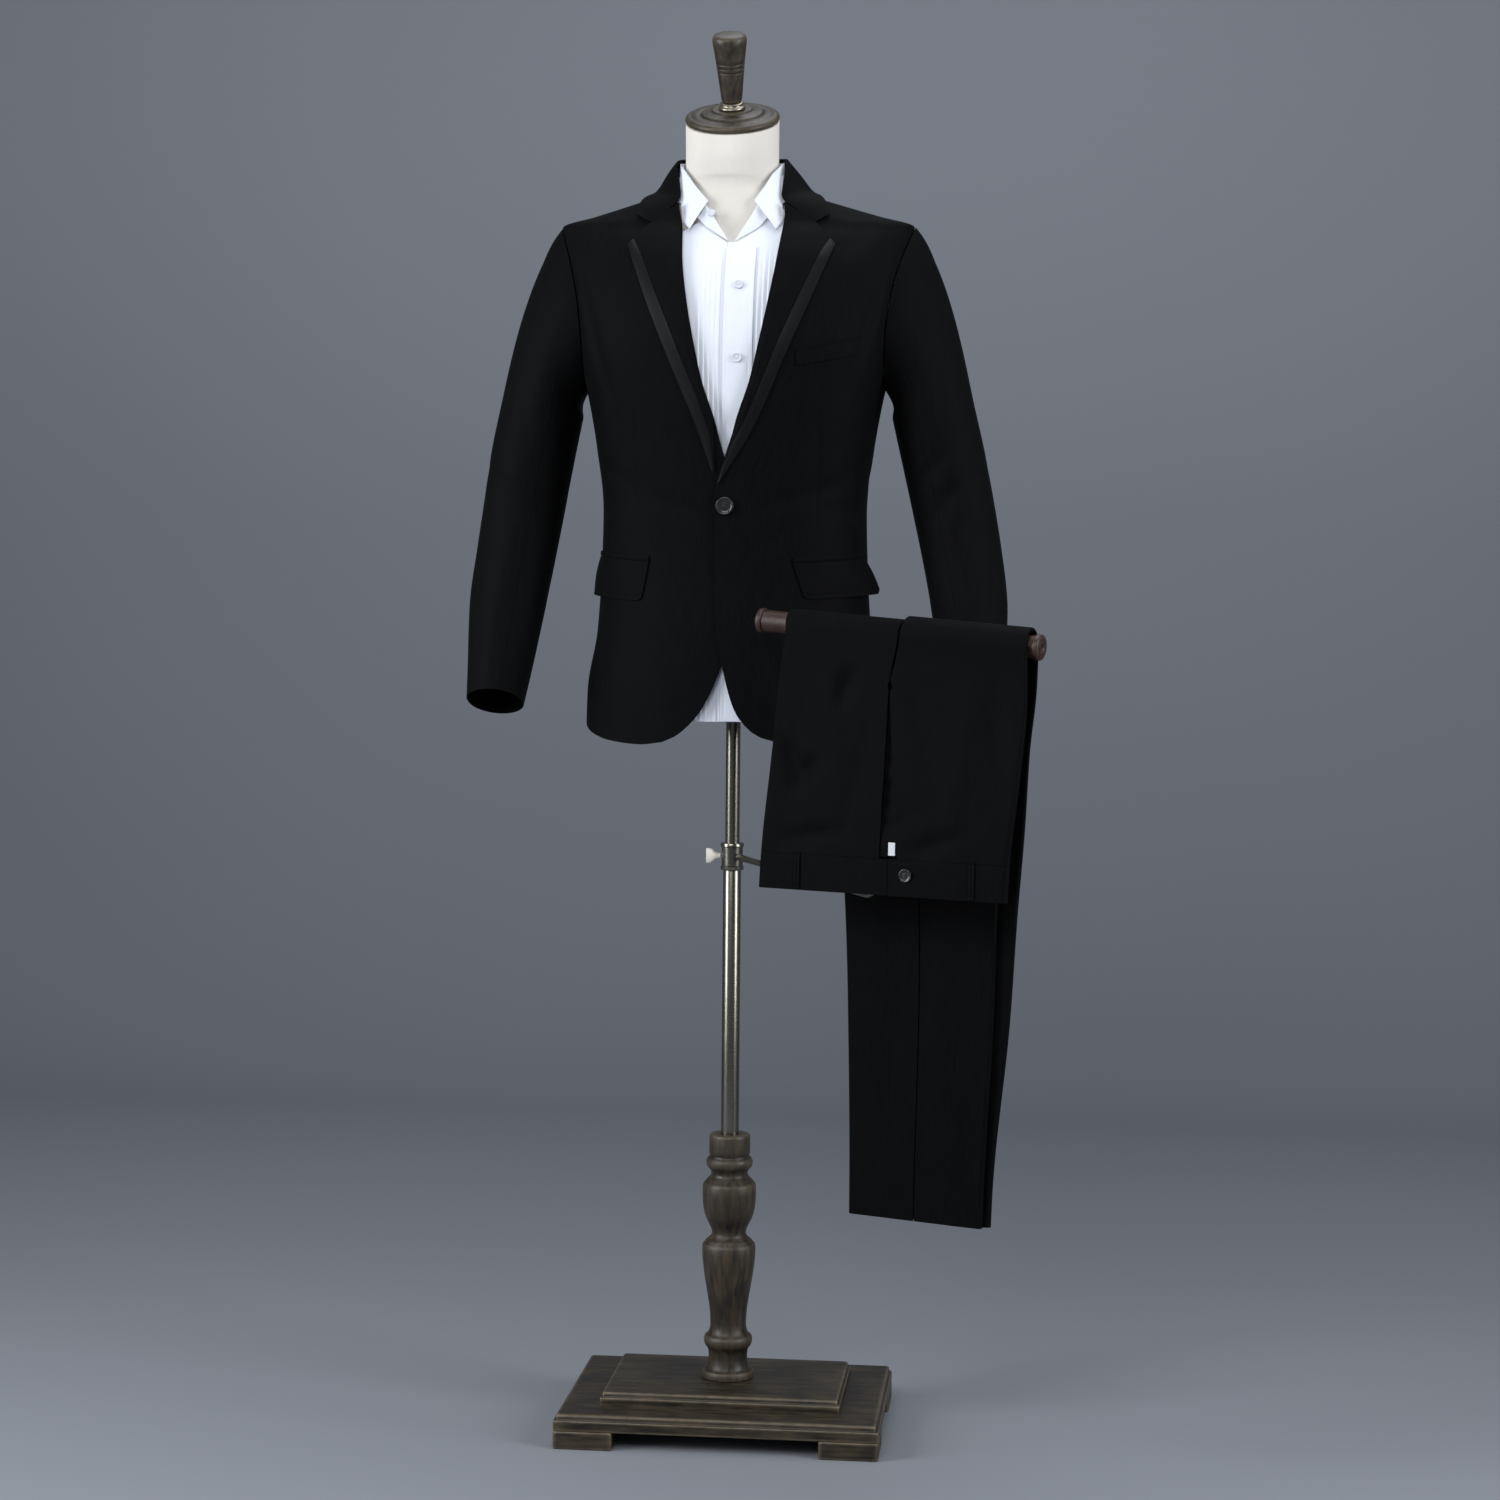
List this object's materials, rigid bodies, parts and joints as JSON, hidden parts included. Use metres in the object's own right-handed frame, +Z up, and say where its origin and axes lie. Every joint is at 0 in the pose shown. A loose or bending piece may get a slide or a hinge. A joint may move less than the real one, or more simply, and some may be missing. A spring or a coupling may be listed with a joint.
{
  "type": "tuxedo on dress form stand",
  "caption": "Black evening jacket over a pleated shirt on a footed dress form, with the trousers folded over a wooden rail clamped to its pole.",
  "frame": {"origin": "centre of the bounding box on the floor, under the base's feet", "axes": "+Z up along the pole, -Y towards the jacket's front, +X towards the wearer's left, where the trouser rail stands out"},
  "size_m": [0.7174, 0.485, 1.736],
  "materials": {
    "black_wool": "matt worsted wool",
    "black_satin": "satin",
    "white_cotton": "matt cotton",
    "natural_linen": "matt linen",
    "dark_wood": "dark antiqued stain, satin",
    "reddish_wood": "varnished",
    "brushed_steel": "brushed",
    "pearl_button": "pearly",
    "black_button": "half gloss"
  },
  "bodies": {
    "root": {"base_foot_1": "dark_wood", "base_foot_2": "dark_wood", "base_foot_3": "dark_wood", "base_foot_4": "dark_wood", "base_plates": "dark_wood", "belt_loop_back_1": "black_wool", "belt_loop_back_2": "black_wool", "belt_loop_back_3": "black_wool", "belt_loop_front_1": "black_wool", "belt_loop_front_2": "black_wool", "breast_welt": "black_wool", "clamp": "brushed_steel", "clamp_screw": "pearl_button", "collar": "black_wool", "collar_stand": "black_wool", "column": "dark_wood", "dress_form": "natural_linen", "finial": "dark_wood", "fly": "black_wool", "jacket_back_left": "black_wool", "jacket_back_right": "black_wool", "jacket_button": "black_button", "jacket_front_left": "black_wool", "jacket_front_right": "black_wool", "lapel_left": "black_wool", "lapel_right": "black_wool", "lapel_satin_left": "black_satin", "lapel_satin_right": "black_satin", "neck_cap": "dark_wood", "pocket_flap_left": "black_wool", "pocket_flap_right": "black_wool", "pocket_jet_left": "black_wool", "pocket_jet_right": "black_wool", "pole": "brushed_steel", "rail_cap_left": "reddish_wood", "rail_cap_right": "reddish_wood", "rail_dowel": "reddish_wood", "rail_rod": "brushed_steel", "shirt_back": "white_cotton", "shirt_button_1": "pearl_button", "shirt_button_2": "pearl_button", "shirt_button_3": "pearl_button", "shirt_front_left": "white_cotton", "shirt_front_right": "white_cotton", "shirt_leaf_left": "white_cotton", "shirt_leaf_right": "white_cotton", "shirt_placket": "white_cotton", "shirt_stand": "white_cotton", "size_label": "white_cotton", "trouser_back_left": "black_wool", "trouser_back_right": "black_wool", "trouser_front_left": "black_wool", "trouser_front_right": "black_wool", "under_sleeve_left": "black_wool", "under_sleeve_right": "black_wool", "upper_sleeve_left": "black_wool", "upper_sleeve_right": "black_wool", "waist_button": "black_button", "waistband_left": "black_wool", "waistband_right": "black_wool"}
  },
  "joints": []
}
